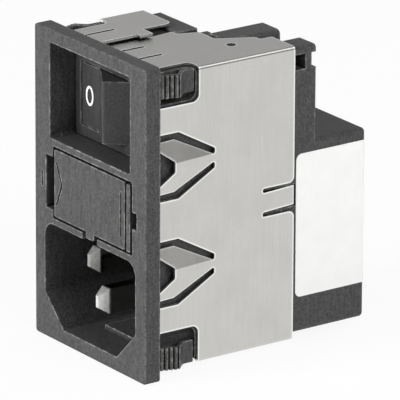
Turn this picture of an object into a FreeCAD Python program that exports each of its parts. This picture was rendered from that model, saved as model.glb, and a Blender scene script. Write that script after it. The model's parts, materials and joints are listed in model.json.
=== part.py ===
"""Panel-mounted appliance inlet with mains filter, fuse drawer and rocker switch.

Millimetres. The origin is the middle of the panel cut-out, on the flange's back plane.
-Y is the front that the user sees, +X the right-hand side and +Z up.
"""
import FreeCAD, Part
import math
import os

V = FreeCAD.Vector

# Flange and moulded body
FLANGE_W = 29.9
FLANGE_H = 50.2
FLANGE_T = 2.7
FLANGE_R = 0.6
FLANGE_EDGE = 0.2
WALL = 1.2
BODY_DEPTH = 24.0
UPPER_DEPTH = 19.0
BAY_FLOOR_DROP = 0.6
BODY_EDGE = 0.6

# Screening can
SHEET = 0.4
CAN_W = 27.0
CAN_TOP = 23.47
CAN_BOTTOM = -24.0
CAN_FRONT = 0.15
CAN_REAR = 26.0
CAN_BEND = 0.6
LAP_RISE = 0.73
LAP_REAR = 16.2
CAN_GAP = 0.1

# Corner windows in the can and the snap latches in them
WINDOW_DEPTH = 8.1
WINDOW_H_TOP = 5.4
WINDOW_H_BOTTOM = 6.1
WINDOW_W = 2.9
WINDOW_R = 1.2
RELIEF_RIM = 0.3
RELIEF_W = 2.1
LATCH_H = 3.6
LATCH_DROP_TOP = 0.35
LATCH_DROP_BOTTOM = 0.0
LATCH_T = 0.8
LATCH_ARM_T = 0.5
LATCH_END = 7.65
LATCH_FRONT = 0.9
LATCH_HEEL = 0.15
LATCH_PEAK = 4.1
LATCH_PROUD = 0.85
LATCH_PEAK_R = 0.3
LATCH_FOOT = 5.8
LATCH_DIP = 0.75
LATCH_FOOT_R = 1.0
RIB_COUNT = 5
RIB_PITCH = 0.72
RIB_GROOVE = 0.28

# Spring tongues in the can's sides
TONGUE_Z = 8.5
TONGUE_HALF = 4.2
TONGUE_BAND = 0.65
TONGUE_STRAIGHT = 3.8
TONGUE_NECK = 10.5
TONGUE_SLOT = 1.1
TONGUE_SLOT_TIP = 0.9
TONGUE_SLOT_END = 11.1
TONGUE_SLOT_R = 0.4
TONGUE_LIFT = 5.0
TONGUE_FOLD = 14.0
TONGUE_ROOM = 0.35
NOTCH_HALF = 3.9
NOTCH_DEPTH = 3.35
NOTCH_FLAT = 0.85
NOTCH_R = 0.3

# Rear slots in the can's sides and slits in its top
SLOT_Z = (1.35, -2.5)
SLOT_W = 0.7
SLOT_LENGTH = 5.9
SLOT_END_R = 0.3
SLOT_FLARE_R = 1.0
LANCE_BEND = 6.0
LANCE_REACH = 0.5
LANCE_ROOM = 0.15
HOLE_X = 7.2
HOLE_Y = 18.5
HOLE_R = 0.75
SLIT_X = (-7.4, 0.5, 5.2)
SLIT_W = 0.6
SLIT_LENGTH = 7.0

# Free edges of the two top leaves, from front to rear, with corner radii
RIGHT_LEAF = ((-3.0, 0), (-4.0, 8.0), (-2.9, 11.0), (-3.3, 14.9, 0.4), (-2.0, 14.9, 0.4), (-0.7, 18.2, 0.6),
              (3.2, 18.2, 0.8), (6.2, 23.8, 0.8), (7.4, 23.8, 0.5))
LEFT_LEAF = ((-3.2, 8.3, 0.3), (-2.45, 8.3), (-2.45, 10.7), (-5.1, 10.7, 0.4))
LEFT_LEAF_R = 1.2

# Raised pad of the body under the left leaf
PAD_LEFT = -12.4
PAD_RIGHT = -2.45
PAD_FRONT = 15.1
PAD_GAP = 0.3

# Switch bay and switch
BAY_W = 21.6
BAY_R = 0.8
BAY_MOUTH_R = 0.5
BAY_LOW = 7.6
BAY_HIGH = 23.0
BAY_CEILING = 22.3
BAY_LIP = 0.8
BAY_FIT = 0.1
SWITCH_FACE = 2.05
PIVOT_Y = 5.6
PIVOT_R = 1.2
PIVOT_FIT = 0.05
ROCKER_Z = 14.55
ROCKER_W = 10.0
ROCKER_GAP = 0.15
ROCKER_REACH = 9.5
ROCKER_LEAN = 10.5
ROCKER_CREST = 6.95
ROCKER_FLANK = 48.5
ROCKER_CREST_R = 0.4
ROCKER_FOOT_R = 0.6
ROCKER_TIP_R = 0.2
ROCKER_SKIN = 1.5
ROCKER_END_GAP = 0.18
POLE_PITCH = 4.4
POST_R = 1.5
POST_END = 6.4
BORE_R = 0.95
BORE_START = 2.6
PLUNGER_R = 0.85
PLUNGER_START = 4.9
PLUNGER_END = 7.4
PLUNGER_NOSE = 0.6
PLUNGER_TIP_R = 0.35
SPRING_R = 0.6
SPRING_WIRE = 0.28
SPRING_TURNS = 4
SPRING_STEPS = 8
LEVER_GAP = 0.25
LEVER_ROOM = 2.6
LEVER_T = 0.6
LEVER_W = 2.4
LEVER_LEFT = 4.0
LEVER_RIGHT = 6.6
LEVER_TILT = 6.0
CONTACT_X = 5.6
CONTACT_R = 0.9
CONTACT_T = 0.5
CONTACT_GAP = 0.15
BLADE_T = 0.8
KNIFE_GAP = 0.1
KNIFE_L = 0.6
KNIFE_R = 0.15
BLADE_END = 24.0

# Fuse drawer
DRAWER_LEFT = -9.6
DRAWER_RIGHT = 9.4
DRAWER_LOW = -4.84
DRAWER_HIGH = 6.09
DRAWER_FACE_T = 1.8
TUNNEL_GAP = 0.4
TUNNEL_R = 0.3
DRAWER_R = 0.3
TUNNEL_RIGHT = 11.42
FINGER_X = (9.9, 10.75)
FINGER_LENGTH = 6.5
FINGER_DROP = 0.2
PRY_SLOT_W = 1.9
PRY_SLOT_Z = (-3.88, 4.73)
PRY_SLOT_DEPTH = 6.0
MOULD_MARK_X = -12.95
MOULD_MARK_Z = (-0.75, 1.86)
KEY_NOTCH_X = 12.6
KEY_NOTCH_Z = (-0.9, 1.8)
TAB_HALF = 1.04
TAB_DROP = 1.06
TAB_NOTCH_HALF = 2.0
TAB_NOTCH_R = 0.5
TAB_NOTCH_DEPTH = 3.0
CARRIER_W = 18.6
CARRIER_ROOM = 1.4
CARRIER_FLOOR = 1.1
CARRIER_SIDE_TOP = 2.2
MARK_W = 0.35
MARK_DEPTH = 0.2
ARROW_X = (-9.05, -7.58)
ARROW_Z = (-2.9, 0.66, 4.15)
GRIP_LINE_X = 8.38
FUSE_X = 4.5
FUSE_Z = 0.9
FUSE_LENGTH = 20.0
CRADLE_INSET = 6.0
FUSE_SETBACK = 0.9
FUSE_R = 2.5
FUSE_GLASS = 0.4
FUSE_FIT = 0.03
FUSE_CAP_R = 2.6
FUSE_CAP_L = 5.0
FUSE_WIRE_R = 0.15
CLIP_T = 0.4
CLIP_W = 2.5
CLIP_GAP = 0.3
CLIP_FIT = 0.1
CLIP_SETBACK = 1.0
CLIP_BEND = 0.5
STRIP_REACH = 6.0
STRIP_TIP = 2.0
STRIP_CURL = 1.0
STRIP_R = 0.6

# Appliance inlet
INLET_W = 24.5
INLET_H = 16.5
INLET_Z = -14.53
INLET_TOP_R = 2.2
INLET_CHAMFER = 5.0
INLET_R = 0.6
INLET_DEPTH = 16.5
FILTER_ROOF = 0.6
INLET_STEP_W = 8.0
INLET_STEP_H = 0.8
INLET_STEP_DEPTH = 5.6
PIN_T = 2.0
PIN_H = 4.0
PIN_PITCH = 7.0
PIN_LINE_RISE = 2.33
PIN_EARTH_DROP = 1.67
PIN_TIP_LINE = 1.85
PIN_TIP_EARTH = -1.35
PIN_TAPER = 1.6
PIN_TIP_T = 0.6
PIN_TIP_H = 1.9

# Filter case at the rear
CASE_REAR = 40.0
CASE_TOP = 7.74
CASE_BOTTOM = -23.2
CASE_CORNER = 0.7
GUARD_REAR = 30.25
GUARD_SHOULDER = 19.4
GUARD_TOP = 22.95
WING_RIGHT = -2.45
WING_TOP = 18.7
WING_REAR = 28.3
RIDGE_LEFT = 0.8
RIDGE_RIGHT = 5.4
RIDGE_TOP = 23.5
RIDGE_REAR = 29.0
RIDGE_R = 0.8
RIDGE_NOSE_X = 3.0
RIDGE_NOSE_Y = 23.8
CAP_LEFT = 8.8
CAP_NOTCH_DEPTH = 3.0
GUARD_POST = 1.15
GUARD_NOTCH_Y = (26.4, 28.3)
LABEL_T = 0.08
LABEL_FRONT = 26.7
LABEL_Z = (-17.4, 5.85)
LABEL_R = 1.0
LABEL_LAP = 1.0

# Filter parts
BOARD_T = 1.2
BOARD_EDGE_GAP = 0.3
CHOKE_R = 6.5
CHOKE_BORE = 3.4
CHOKE_H = 6.0
CHOKE_Z = -14.0
COIL_T = 1.0
COIL_ANGLE = 130.0
XCAP_W = 13.0
XCAP_T = 5.0
XCAP_H = 10.5
XCAP_LEFT = -3.0
XCAP_R = 0.4
YCAP_R = 3.4
YCAP_T = 2.4
YCAP_Z = (-3.6, -18.5)
YCAP_X = 10.2
RESISTOR_R = 1.1
RESISTOR_L = 6.4
RESISTOR_GAP = 1.0
LEG_L = 0.8
LEG_W = 0.5
YCAP_LEG = 2.0
RESISTOR_LEG = 0.6
TERMINAL_W = 6.3
TERMINAL_T = 0.8
TERMINAL_OUT = 8.0
TERMINAL_X = -10.2
TERMINAL_LINE_Z = -9.3
TERMINAL_NEUTRAL_Z = -17.8
TERMINAL_EARTH_X = -6.8
TERMINAL_EARTH_Z = -2.0
TERMINAL_HOLE_R = 0.8
TERMINAL_HOLE_SETBACK = 3.4
TERMINAL_CHAMFER = 1.0

# Flat sides of small round pieces inside
SIDES = 12
FUSE_SIDES = 20
CHOKE_SIDES = 24

# Values that follow from the ones above
FRONT = -FLANGE_T
CAN_X = CAN_W / 2
BODY_X = CAN_X - SHEET - CAN_GAP
BODY_TOP = CAN_TOP - SHEET - CAN_GAP
BODY_BOTTOM = CAN_BOTTOM + SHEET + CAN_GAP
PIVOT_SPAN = (ROCKER_Z - ROCKER_W / 2, ROCKER_Z + ROCKER_W / 2)
POLES = (ROCKER_Z - POLE_PITCH / 2, ROCKER_Z + POLE_PITCH / 2)
LEVER_TOP = PIVOT_Y + PLUNGER_END + LEVER_GAP
FULCRUM_Y = LEVER_TOP + LEVER_T
TUNNEL_LEFT = DRAWER_LEFT - TUNNEL_GAP
TUNNEL_LOW = DRAWER_LOW - TUNNEL_GAP
TUNNEL_HIGH = DRAWER_HIGH + TUNNEL_GAP
INLET_FLOOR = FRONT + INLET_DEPTH
FILTER_FRONT = INLET_FLOOR + WALL
INLET_TOP = INLET_Z + INLET_H / 2
INLET_BOTTOM = INLET_Z - INLET_H / 2
PIN_LINE_Z = INLET_Z + PIN_LINE_RISE
PIN_EARTH_Z = INLET_Z - PIN_EARTH_DROP
BOARD_Y = BODY_DEPTH + BOARD_EDGE_GAP
BOARD_BACK = BOARD_Y + BOARD_T
FUSE_FRONT = FRONT + DRAWER_FACE_T + FUSE_SETBACK
FUSE_BACK = FUSE_FRONT + FUSE_LENGTH
CLIP_Y = BODY_DEPTH - CLIP_SETBACK
CARRIER_END = CLIP_Y - CARRIER_ROOM
LAP_TOP = CAN_TOP + LAP_RISE
SLOT_START = CAN_REAR - SLOT_LENGTH
LANCE_Z = (SLOT_Z[1] + SLOT_W / 2, SLOT_Z[0] - SLOT_W / 2)
LANCE_END = CAN_REAR + LANCE_REACH
LANCE_DROP = (LANCE_END - SLOT_START) * math.sin(math.radians(LANCE_BEND))

AXES = {"xz": V(0, 1, 0), "xy": V(0, 0, 1), "yz": V(1, 0, 0)}


def place(plane, u, v, depth):
    """Point (u, v) of a named plane, at a depth along the plane's normal."""
    if plane == "xz":
        return V(u, depth, v)
    if plane == "xy":
        return V(u, v, depth)
    return V(depth, u, v)


def rounded_wire(plane, corners, depth):
    """Closed wire through (u, v) or (u, v, radius) corners, each radius a tangent arc."""
    count = len(corners)
    points = [V(c[0], c[1], 0) for c in corners]
    radii = [c[2] if len(c) > 2 else 0 for c in corners]
    runs = []
    for i, corner in enumerate(points):
        back = (points[i - 1] - corner).normalize()
        on = (points[(i + 1) % count] - corner).normalize()
        if radii[i] == 0:
            runs.append((corner, None, corner))
            continue
        half = back.getAngle(on) / 2
        reach = radii[i] / math.tan(half)
        middle = (back + on).normalize()
        crown = corner + middle * (radii[i] / math.sin(half) - radii[i])
        runs.append((corner + back * reach, crown, corner + on * reach))
    edges = []
    for i, (start, crown, end) in enumerate(runs):
        spots = [place(plane, p.x, p.y, depth) for p in (start, end)]
        if crown is not None:
            top = place(plane, crown.x, crown.y, depth)
            edges.append(Part.Arc(spots[0], top, spots[1]).toShape())
        following = runs[(i + 1) % count][0]
        goal = place(plane, following.x, following.y, depth)
        if spots[1].distanceToPoint(goal) > 1e-6:
            edges.append(Part.LineSegment(spots[1], goal).toShape())
    return Part.Wire(edges)


def prism(plane, corners, low, high):
    """Solid with a rounded outline in a plane, from low to high along its normal."""
    face = Part.Face(rounded_wire(plane, corners, low))
    return face.extrude(AXES[plane] * (high - low))


def rectangle(u0, u1, v0, v1, radius=0):
    return [(u0, v0, radius), (u1, v0, radius), (u1, v1, radius), (u0, v1, radius)]


def box(x0, x1, y0, y1, z0, z1):
    return Part.makeBox(x1 - x0, y1 - y0, z1 - z0, V(x0, y0, z0))


def ring(radius, centre, way, sides):
    """Closed wire with equal sides round a centre, square to a way."""
    turn = FreeCAD.Rotation(V(0, 0, 1), way)
    steps = [2 * math.pi * i / sides for i in range(sides + 1)]
    return Part.makePolygon([centre + turn.multVec(V(radius * math.cos(a), radius * math.sin(a), 0))
                             for a in steps])


def rod(radius, start, end, sides=0):
    """Round rod between two points, or one with flat sides for a small piece inside."""
    way = end - start
    if sides == 0:
        return Part.makeCylinder(radius, way.Length, start, way)
    return Part.Face(ring(radius, start, way, sides)).extrude(way)


def mirrored(shape, normal):
    return shape.mirror(V(0, 0, 0), normal)


def merged(shapes):
    whole = shapes[0].multiFuse(shapes[1:]) if len(shapes) > 1 else shapes[0]
    return whole.removeSplitter()


def corner_edge(right, top):
    """Height of the can's edge at one corner, from the middle; the left-hand top is raised for the lap."""
    if top < 0:
        return -CAN_BOTTOM
    return CAN_TOP if right > 0 else LAP_TOP


def latch(right, top):
    """Snap latch at one corner: a ribbed leaf that rises to a peak, on a thin arm from the rear."""
    edge_z = corner_edge(right, top)
    high = edge_z - (LATCH_DROP_TOP if top > 0 else LATCH_DROP_BOTTOM)
    low = high - LATCH_H
    heel, peak, foot = CAN_X - LATCH_HEEL, CAN_X + LATCH_PROUD, CAN_X - LATCH_DIP
    lug = prism("xy", [(heel - LATCH_T, LATCH_FRONT), (heel, LATCH_FRONT), (peak, LATCH_PEAK, LATCH_PEAK_R),
                       (foot, LATCH_FOOT, LATCH_FOOT_R), (foot, LATCH_END), (foot - LATCH_T, LATCH_END),
                       (foot - LATCH_T, LATCH_FOOT), (peak - LATCH_T, LATCH_PEAK)], low, high)
    rise = (peak - heel) / (LATCH_PEAK - LATCH_FRONT)
    for i in range(RIB_COUNT):
        run = RIB_PITCH * i
        y = LATCH_FRONT + run
        lug = lug.cut(box(heel + rise * run - RIB_GROOVE, peak, y, y + RIB_GROOVE, low, high))
    back = foot - LATCH_T
    arm = merged([lug, box(back, back + LATCH_ARM_T, LATCH_FOOT, WINDOW_DEPTH + WALL, low,
                           edge_z - SHEET - CAN_GAP)])
    if right < 0:
        arm = mirrored(arm, V(1, 0, 0))
    if top < 0:
        arm = mirrored(arm, V(0, 0, 1))
    return arm


def corner_block(right, top, width, rim, grow):
    """Block that clears one corner of the body or the can for its latch, a rim short of the window."""
    edge_z = corner_edge(right, top)
    depth, height = WINDOW_DEPTH - rim, (WINDOW_H_TOP if top > 0 else WINDOW_H_BOTTOM) - rim
    low_x, low_z, front = CAN_X - width, edge_z - height, CAN_FRONT - grow
    side = [(front, low_z), (depth, low_z, WINDOW_R), (depth, edge_z + grow), (front, edge_z + grow)]
    over = [(low_x, front), (CAN_X + grow, front), (CAN_X + grow, depth), (low_x, depth, WINDOW_R)]
    block = prism("yz", side, low_x, CAN_X + grow).common(prism("xy", over, low_z, edge_z + grow))
    if right < 0:
        block = mirrored(block, V(1, 0, 0))
    if top < 0:
        block = mirrored(block, V(0, 0, 1))
    return block


def lance_pocket(side):
    """Room in the body for the strip that is bent in between a side's rear slots."""
    depth = LANCE_DROP + LANCE_ROOM
    pocket_x = sorted((side * (BODY_X - depth), side * (BODY_X + 1)))
    return box(*pocket_x, SLOT_START, LANCE_END + LANCE_ROOM,
               LANCE_Z[0] - LANCE_ROOM, LANCE_Z[1] + LANCE_ROOM)


def inlet_outline(grow=0):
    """Outline of the inlet well, or one grown all round."""
    half, low, high = INLET_W / 2 + grow, INLET_BOTTOM - grow, INLET_TOP + grow
    chamfer = INLET_CHAMFER + grow * (2 - math.sqrt(2))
    return [(-half, high, INLET_TOP_R), (-half, low + chamfer, INLET_R), (-half + chamfer, low, INLET_R),
            (half - chamfer, low, INLET_R), (half, low + chamfer, INLET_R), (half, high, INLET_TOP_R)]


def front_housing():
    """Moulding with the flange, switch bay, drawer tunnel, inlet well and four snap latches."""
    flange = prism("xz", rectangle(-FLANGE_W / 2, FLANGE_W / 2, -FLANGE_H / 2, FLANGE_H / 2, FLANGE_R),
                   FRONT, 0)
    rim = [e for e in flange.Edges if all(abs(v.Point.y - FRONT) < 1e-6 for v in e.Vertexes)]
    flange = flange.makeFillet(FLANGE_EDGE, rim)
    shelf = BAY_LOW - BAY_FLOOR_DROP
    lower = prism("xz", [(-BODY_X, BODY_BOTTOM, BODY_EDGE), (BODY_X, BODY_BOTTOM, BODY_EDGE),
                         (BODY_X, shelf), (-BODY_X, shelf)], 0, BODY_DEPTH)
    upper = prism("xz", [(-BODY_X, shelf), (BODY_X, shelf), (BODY_X, BODY_TOP, BODY_EDGE),
                         (-BODY_X, BODY_TOP, BODY_EDGE)], 0, UPPER_DEPTH)
    pad = box(PAD_LEFT, PAD_RIGHT, PAD_FRONT, UPPER_DEPTH, BODY_TOP - WALL / 2, LAP_TOP - SHEET - PAD_GAP)
    solid = merged([flange, lower, upper, pad])
    corners = [(right, top) for right in (1, -1) for top in (1, -1)]
    inlet_wall = prism("xz", inlet_outline(WALL / 2), FRONT, INLET_FLOOR)
    for right, top in corners:
        relief = corner_block(right, top, RELIEF_W, RELIEF_RIM, 1.0).cut(inlet_wall)
        solid = solid.cut(relief.common(box(-CAN_W, CAN_W, 0, CAN_REAR, -FLANGE_H, FLANGE_H)))
    half = BAY_W / 2
    cuts = [prism("xz", rectangle(-half, half, BAY_LOW, BAY_HIGH, BAY_MOUTH_R), FRONT - 1, -BAY_LIP),
            prism("xz", rectangle(-half, half, BAY_LOW, BAY_CEILING, BAY_R), FRONT, UPPER_DEPTH + 1),
            prism("xz", rectangle(TUNNEL_LEFT, TUNNEL_RIGHT, TUNNEL_LOW, TUNNEL_HIGH, TUNNEL_R),
                  FRONT - 1, BODY_DEPTH + 1),
            box(TUNNEL_LEFT - PRY_SLOT_W, TUNNEL_LEFT + 1, FRONT - 1, FRONT + PRY_SLOT_DEPTH,
                *PRY_SLOT_Z),
            box(TUNNEL_RIGHT - 1, KEY_NOTCH_X, FRONT - 1, FRONT + PRY_SLOT_DEPTH, *KEY_NOTCH_Z),
            prism("xz", inlet_outline(), FRONT - 1, INLET_FLOOR),
            prism("xz", rectangle(-TAB_NOTCH_HALF, TAB_NOTCH_HALF, INLET_TOP - WALL, TUNNEL_LOW + WALL,
                                  TAB_NOTCH_R), FRONT - 1, FRONT + TAB_NOTCH_DEPTH),
            box(-BODY_X + WALL, BODY_X - WALL, FILTER_FRONT, BODY_DEPTH + 1, BODY_BOTTOM + WALL,
                INLET_TOP - FILTER_ROOF)]
    for x, z in ((-PIN_PITCH, PIN_LINE_Z), (PIN_PITCH, PIN_LINE_Z), (0, PIN_EARTH_Z)):
        cuts.append(box(x - PIN_T / 2, x + PIN_T / 2, INLET_FLOOR - 1, FILTER_FRONT + 1,
                        z - PIN_H / 2, z + PIN_H / 2))
    for side in (1, -1):
        room_x = sorted((side * (BODY_X - TONGUE_ROOM), side * (BODY_X + 1)))
        for z in (TONGUE_Z, -TONGUE_Z):
            cuts.append(box(*room_x, 0, TONGUE_NECK + TONGUE_SLOT, z - TONGUE_HALF - TONGUE_SLOT,
                            z + TONGUE_HALF + TONGUE_SLOT))
        riser_x = sorted(side * (PIN_PITCH + s * (CLIP_W / 2 + CLIP_FIT)) for s in (1, -1))
        cuts.append(box(*riser_x, CLIP_Y - CLIP_FIT, BODY_DEPTH + 1, INLET_TOP - 1, TUNNEL_LOW + 1))
        cuts.append(lance_pocket(side))
    cuts.append(groove((MOULD_MARK_X, MOULD_MARK_Z[0]), (MOULD_MARK_X, MOULD_MARK_Z[1])))
    solid = solid.cut(cuts[0].multiFuse(cuts[1:]))
    step = box(-INLET_STEP_W / 2, INLET_STEP_W / 2, FRONT + INLET_STEP_DEPTH, INLET_FLOOR,
               INLET_BOTTOM, INLET_BOTTOM + INLET_STEP_H)
    return merged([solid, step] + [latch(right, top) for right, top in corners])


def tongue_opening():
    """Outline of the opening round a spring tongue, with a round-ended slot on each side of its neck."""
    half = TONGUE_HALF + TONGUE_SLOT
    neck = TONGUE_BAND + TONGUE_SLOT_TIP
    side = [(CAN_FRONT - 1, half), (TONGUE_STRAIGHT + TONGUE_SLOT / 2, half),
            (TONGUE_SLOT_END, neck, TONGUE_SLOT_R), (TONGUE_SLOT_END, TONGUE_BAND, TONGUE_SLOT_R),
            (TONGUE_NECK, TONGUE_BAND)]
    return side + [(y, -w, *r) for y, w, *r in reversed(side)]


def tongue(centre_z):
    """Spring tongue: a raised band with two folded wings, notched at its free end."""
    fall = (TONGUE_HALF - TONGUE_BAND) * math.tan(math.radians(TONGUE_FOLD))
    half, band = TONGUE_HALF, TONGUE_BAND
    section = [(-fall, -half), (0, -band), (0, band), (-fall, half),
               (-fall - SHEET, half), (-SHEET, band), (-SHEET, -band), (-fall - SHEET, -half)]
    reach = TONGUE_NECK + SHEET
    sheet = prism("xz", section, CAN_FRONT, reach)
    outline = [(CAN_FRONT, -half), (TONGUE_STRAIGHT, -half), (reach, -band), (reach, band),
               (TONGUE_STRAIGHT, half), (CAN_FRONT, half)]
    notch = [(CAN_FRONT - 1, -NOTCH_HALF), (NOTCH_DEPTH, -NOTCH_FLAT, NOTCH_R),
             (NOTCH_DEPTH, NOTCH_FLAT, NOTCH_R), (CAN_FRONT - 1, NOTCH_HALF)]
    low, high = -fall - SHEET, SHEET
    sheet = sheet.common(prism("yz", outline, low, high)).cut(prism("yz", notch, low, high))
    sheet.translate(V(CAN_X, 0, 0))
    sheet.rotate(V(CAN_X, TONGUE_NECK, 0), V(0, 0, 1), TONGUE_LIFT)
    sheet.translate(V(0, 0, centre_z))
    return sheet


def rear_slot(z, outward):
    """Slot from the can's rear edge with a round blind end, flared on the side away from the strip."""
    inner, outer = z - outward * SLOT_W / 2, z + outward * SLOT_W / 2
    far, rear = outer + outward * 2 * SLOT_FLARE_R, CAN_REAR + 1
    return [(SLOT_START, inner, SLOT_END_R), (rear, inner), (rear, far), (CAN_REAR, far),
            (CAN_REAR, outer, SLOT_FLARE_R), (SLOT_START, outer, SLOT_END_R)]


def lance():
    """Strip between the rear slots, bent in to hold the can on the body."""
    strip = box(CAN_X - SHEET, CAN_X, SLOT_START, LANCE_END, *LANCE_Z)
    strip.rotate(V(CAN_X, SLOT_START, 0), V(0, 0, 1), LANCE_BEND)
    return strip


def can_section():
    """Folded strip of the can in the X-Z plane, open at the lap seam on its top."""
    x, low, high, lap = CAN_X, CAN_BOTTOM, CAN_TOP, LAP_TOP
    r, t = CAN_BEND, SHEET
    return [(-x + 2, high), (x, high, r), (x, low, r), (-x, low, r), (-x, lap, r), (-2, lap),
            (-2, lap - t), (-x + t, lap - t, r - t), (-x + t, low + t, r - t),
            (x - t, low + t, r - t), (x - t, high - t, r - t), (-x + 2, high - t)]


def shield():
    """Plated sheet can: side walls with tongues and slots, fingers and a lap seam on top."""
    can = prism("xz", can_section(), CAN_FRONT, CAN_REAR)
    x, front, rear, over = CAN_X, CAN_FRONT - 1, CAN_REAR + 1, LAP_TOP + 1
    under, split = CAN_TOP - SHEET - CAN_GAP, LAP_TOP - SHEET - CAN_GAP
    right_gap = [(-x + 1, front), (RIGHT_LEAF[0][0], front)] + list(RIGHT_LEAF[1:])
    right_gap += [(RIGHT_LEAF[-1][0], rear), (-x + 1, rear)]
    left_gap = [(LEFT_LEAF[0][0], front)] + list(LEFT_LEAF) + [(LEFT_LEAF[-1][0], LAP_REAR, LEFT_LEAF_R)]
    left_gap += [(-x - 1, LAP_REAR), (-x - 1, rear), (0, rear), (0, front)]
    cuts = [prism("xy", right_gap, under, split), prism("xy", left_gap, split, over),
            box(-x - 1, -x + 2, LAP_REAR, rear, GUARD_SHOULDER - WALL / 2, over)]
    for slit in SLIT_X:
        cuts.append(box(slit - SLIT_W / 2, slit + SLIT_W / 2, front, SLIT_LENGTH, under, over))
    cuts.append(rod(HOLE_R, V(HOLE_X, HOLE_Y, under), V(HOLE_X, HOLE_Y, over)))
    for z, outward in zip(SLOT_Z, (1, -1)):
        cuts.append(prism("yz", rear_slot(z, outward), -x - 1, x + 1))
    cuts.append(box(-x - 1, x + 1, SLOT_START, rear, *LANCE_Z))
    springs = [lance()]
    for z in (TONGUE_Z, -TONGUE_Z):
        cuts.append(prism("yz", [(y, w + z, *r) for y, w, *r in tongue_opening()], -x - 1, x + 1))
        springs.append(tongue(z))
    for right in (1, -1):
        for top in (1, -1):
            cuts.append(corner_block(right, top, WINDOW_W, 0, 2.0))
    can = can.cut(cuts[0].multiFuse(cuts[1:]))
    springs += [mirrored(s, V(1, 0, 0)) for s in springs]
    return merged([can] + springs)


def switch_base():
    """Switch body: rocker well with round end walls, trunnion holes and terminal slots."""
    half = BAY_W / 2 - BAY_FIT
    low, high = PIVOT_SPAN[0] - ROCKER_GAP, PIVOT_SPAN[1] + ROCKER_GAP
    solid = prism("xz", rectangle(-half, half, BAY_LOW + BAY_FIT, BAY_CEILING - BAY_FIT, BAY_R), SWITCH_FACE,
                  UPPER_DEPTH)
    well_r = math.hypot(ROCKER_REACH, rocker_height(ROCKER_REACH)) + ROCKER_END_GAP
    floor = FULCRUM_Y + LEVER_ROOM
    well = rod(well_r, V(0, PIVOT_Y, low), V(0, PIVOT_Y, high)).fuse(
        box(-half + WALL, half - WALL, PIVOT_Y, floor, low, high))
    cuts = [well.common(box(-half, half, SWITCH_FACE - 1, floor, low, high)),
            rod(PIVOT_R + PIVOT_FIT, V(0, PIVOT_Y, low - WALL), V(0, PIVOT_Y, high + WALL))]
    for z in POLES:
        for x in (0, CONTACT_X):
            cuts.append(box(x - BLADE_T / 2, x + BLADE_T / 2, floor - 1, UPPER_DEPTH + 1,
                            z - LEVER_W / 2, z + LEVER_W / 2))
    return solid.cut(cuts[0].multiFuse(cuts[1:]))


def rocker_height(x):
    """Height of a rocker wing over the pivot, square to the rocker's own axis."""
    lean = math.radians(ROCKER_LEAN)
    return (PIVOT_Y - SWITCH_FACE - abs(x) * math.sin(lean)) / math.cos(lean)


def lean(shape):
    """Turns a piece drawn on the rocker's own axis to the switched-off position."""
    turned = shape.copy()
    turned.rotate(V(0, PIVOT_Y, 0), V(0, 0, 1), ROCKER_LEAN)
    return turned


def rocker():
    """Rocker: two sloping wings, a broad ridge between them, trunnions and two spring posts."""
    flank = math.tan(math.radians(90 - ROCKER_FLANK))
    slope = math.tan(math.radians(ROCKER_LEAN))
    foot = (ROCKER_CREST - rocker_height(0)) / (flank - slope)
    tip = rocker_height(ROCKER_REACH)
    under = tip - ROCKER_SKIN
    top = [(-ROCKER_REACH, tip, ROCKER_TIP_R), (-foot, rocker_height(foot), ROCKER_FOOT_R),
           (0, ROCKER_CREST, ROCKER_CREST_R), (foot, rocker_height(foot), ROCKER_FOOT_R),
           (ROCKER_REACH, tip, ROCKER_TIP_R)]
    bottom = [(ROCKER_REACH, under), (foot, rocker_height(foot) - ROCKER_SKIN),
              (-foot, rocker_height(foot) - ROCKER_SKIN), (-ROCKER_REACH, under)]
    corners = [(c[0], PIVOT_Y - c[1], *c[2:]) for c in top + bottom]
    low, high = PIVOT_SPAN
    pieces = [prism("xy", corners, low, high),
              rod(PIVOT_R, V(0, PIVOT_Y, low - WALL), V(0, PIVOT_Y, high + WALL)),
              rod(2 * PIVOT_R, V(0, PIVOT_Y, low), V(0, PIVOT_Y, high), SIDES)]
    bores = []
    for z in POLES:
        pieces.append(rod(POST_R, V(0, PIVOT_Y, z), V(0, PIVOT_Y + POST_END, z), SIDES))
        bores.append(rod(BORE_R, V(0, PIVOT_Y + BORE_START, z), V(0, PIVOT_Y + POST_END + 1, z), SIDES))
    return lean(merged(pieces).cut(bores[0].fuse(bores[1])))


def plungers():
    """Cone-nosed plungers that the rocker's springs press on the contact levers."""
    made = []
    for z in POLES:
        nose, along = V(0, PIVOT_Y + PLUNGER_END - PLUNGER_NOSE, z), V(0, PLUNGER_NOSE, 0)
        body = rod(PLUNGER_R, V(0, PIVOT_Y + PLUNGER_START, z), nose, SIDES)
        tip = Part.makeLoft([ring(PLUNGER_R, nose, along, SIDES),
                             ring(PLUNGER_TIP_R, nose + along, along, SIDES)], True, True)
        made.append(lean(merged([body, tip])))
    return Part.makeCompound(made)


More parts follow.
